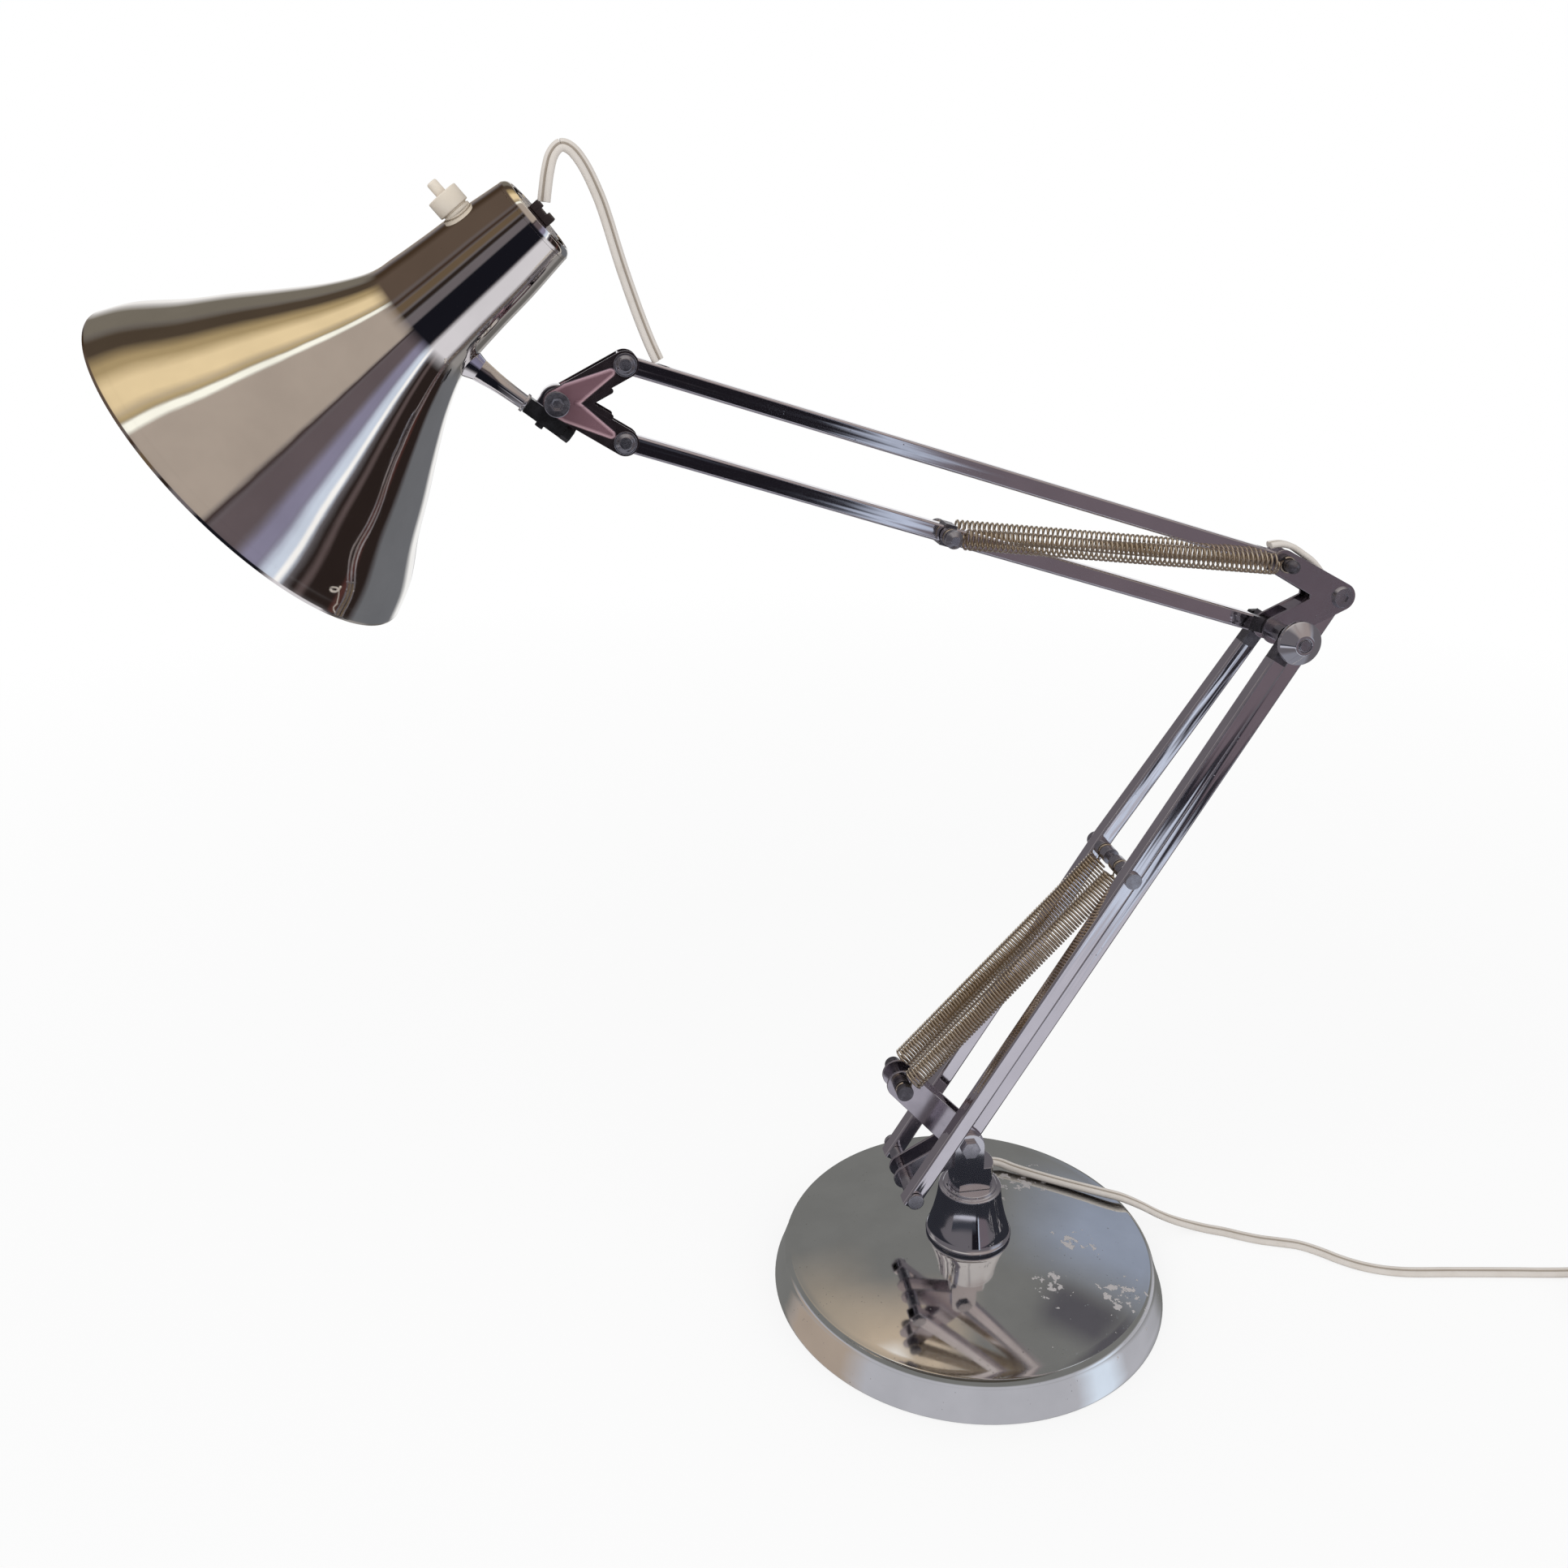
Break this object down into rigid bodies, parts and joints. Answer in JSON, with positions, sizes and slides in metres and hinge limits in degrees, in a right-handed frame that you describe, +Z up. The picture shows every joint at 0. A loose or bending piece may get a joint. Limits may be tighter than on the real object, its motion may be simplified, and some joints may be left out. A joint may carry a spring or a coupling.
{
  "type": "architect desk lamp",
  "caption": "Spring-balanced desk lamp with two parallelogram arms, a flared chrome shade on a tilting head, a push switch and a round weighted base.",
  "frame": {"origin": "middle of the felt's underside, on the axis that the arms swivel about", "axes": "+X from the shade towards the elbow, arms folding in the XZ plane, +Y to the back, +Z up"},
  "size_m": [0.8717, 0.2682, 0.6179],
  "materials": {
    "felt": "dense felt",
    "cast_weight": "black painted casting",
    "worn_chrome": "old chrome plate with pits and flaked patches",
    "satin_bracket": "worn chrome plate on pressed steel",
    "bar_chrome": "worn chrome plate on square tube",
    "dark_steel": "blackened steel",
    "grey_steel": "turned steel gone grey",
    "spring_steel": "golden grey spring wire",
    "polished_knob": "polished, turned",
    "bright_chrome": "bright plate",
    "black_block": "black enamel",
    "shade_chrome": "warm mirror plate inside and out",
    "brown_plastic": "dark brown moulding",
    "holder_porcelain": "cream glazed holder",
    "opal_glass": "opal globe",
    "cream_plastic": "aged cream moulding",
    "cream_cord": "aged cream twin flex",
    "dark_tie": "soft dark band"
  },
  "bodies": {
    "base": {"base_felt": "felt", "base_weight": "cast_weight", "base_cover": "worn_chrome", "post_cup": "worn_chrome", "lead_gland": "cream_cord", "mains_cord": "cream_cord", "mains_coil": "cream_cord", "coil_tie": "dark_tie", "mains_plug": "cream_cord"},
    "turret": {"swivel_fork": "worn_chrome", "stem_nut": "grey_steel", "base_bracket": "satin_bracket", "main_bolt": "grey_steel", "main_nut": "grey_steel", "bottom_pin": "grey_steel", "bottom_spacers": "grey_steel", "lower_spring_pin": "dark_steel"},
    "lower_arm": {"rear_bar": "bar_chrome", "rear_bar_lead": "cream_cord"},
    "front_bars": {"front_bar_near": "bar_chrome", "front_bar_far": "bar_chrome", "front_bar_ends": "dark_steel", "front_spring_pin": "grey_steel", "lower_springs": "spring_steel"},
    "elbow": {"elbow_bracket": "satin_bracket", "rear_rivet": "grey_steel", "upper_spring_pin": "dark_steel", "elbow_bolt": "dark_steel", "elbow_spacer": "grey_steel", "elbow_lead_low": "cream_cord"},
    "knob": {"elbow_knob": "polished_knob"},
    "upper_arm": {"top_rod": "bar_chrome", "top_rod_lead": "cream_cord", "elbow_lead_high": "cream_cord"},
    "lower_rod": {"bottom_rod": "bar_chrome", "bottom_rod_end": "dark_steel", "spring_clamp": "dark_steel", "spring_clamp_pin": "grey_steel", "upper_springs": "spring_steel"},
    "yoke": {"yoke": "satin_bracket", "yoke_rivets": "grey_steel", "tilt_nut": "dark_steel", "head_lead_end": "cream_cord"},
    "tilt_screw": {"tilt_screw": "grey_steel"},
    "head_joint": {"head_lug": "bright_chrome", "clamp_block": "black_block", "block_screw": "black_block", "head_lead_middle": "cream_cord"},
    "head": {"head_tube": "bright_chrome", "tube_boss": "bright_chrome", "tube_nut": "black_block", "shade": "shade_chrome", "end_cap": "shade_chrome", "cord_clamp": "brown_plastic", "lampholder": "holder_porcelain", "bulb": "opal_glass", "switch_body": "cream_plastic", "head_lead_start": "cream_cord"},
    "button": {"switch_button": "cream_plastic"}
  },
  "joints": [
    {"name": "base_swivel", "type": "hinge", "parent": "base", "child": "turret", "pos_m": [0, 0, 0.062], "axis": [0, 0, 1], "range_deg": [-175, 175]},
    {"name": "lower_arm_lean", "type": "hinge", "parent": "turret", "child": "lower_arm", "pos_m": [-0.0035, 0, 0.0895], "axis": [0, 1, 0], "range_deg": [-38, 15]},
    {"name": "front_bars_follow", "type": "hinge", "parent": "turret", "child": "front_bars", "pos_m": [-0.03875, 0, 0.07315], "axis": [0, 1, 0], "range_deg": [-38, 15], "deforming": ["lower_springs"]},
    {"name": "elbow_level", "type": "hinge", "parent": "lower_arm", "child": "elbow", "pos_m": [0.1862, 0, 0.39605], "axis": [0, 1, 0], "range_deg": [-15, 38], "deforming": ["elbow_lead_low"]},
    {"name": "knob_turn", "type": "hinge", "parent": "elbow", "child": "knob", "pos_m": [0.15095, 0, 0.3797], "axis": [0, 1, 0], "continuous": true},
    {"name": "upper_arm_lift", "type": "hinge", "parent": "elbow", "child": "upper_arm", "pos_m": [0.1517, 0, 0.41555], "axis": [0, 1, 0], "range_deg": [-35, 45], "deforming": ["elbow_lead_high"]},
    {"name": "lower_rod_follow", "type": "hinge", "parent": "elbow", "child": "lower_rod", "pos_m": [0.15095, 0, 0.3797], "axis": [0, 1, 0], "range_deg": [-35, 45], "deforming": ["upper_springs"]},
    {"name": "yoke_level", "type": "hinge", "parent": "upper_arm", "child": "yoke", "pos_m": [-0.1821, 0, 0.5208], "axis": [0, 1, 0], "range_deg": [-45, 35], "deforming": ["head_lead_end"]},
    {"name": "tilt_screw_turn", "type": "hinge", "parent": "yoke", "child": "tilt_screw", "pos_m": [-0.2136, 0, 0.50395], "axis": [0, 1, 0], "range_deg": [-90, 90]},
    {"name": "head_tilt", "type": "hinge", "parent": "yoke", "child": "head_joint", "pos_m": [-0.2136, 0, 0.50395], "axis": [0, 1, 0], "range_deg": [-60, 30], "deforming": ["head_lead_middle"]},
    {"name": "head_swivel", "type": "hinge", "parent": "head_joint", "child": "head", "pos_m": [-0.21908, 0, 0.49681], "axis": [0.7934, 0, -0.6088], "range_deg": [-90, 90], "deforming": ["head_lead_start"]},
    {"name": "switch_press", "type": "slide", "parent": "head", "child": "button", "axis": [0.6428, 0, -0.766], "range_m": [0, 0.003], "stiffness_N_per_m": 300}
  ],
  "couplings": [
    {"joint": "front_bars_follow", "follows": "lower_arm_lean", "ratio": 1},
    {"joint": "elbow_level", "follows": "lower_arm_lean", "ratio": -1},
    {"joint": "lower_rod_follow", "follows": "upper_arm_lift", "ratio": 1},
    {"joint": "yoke_level", "follows": "upper_arm_lift", "ratio": -1}
  ]
}
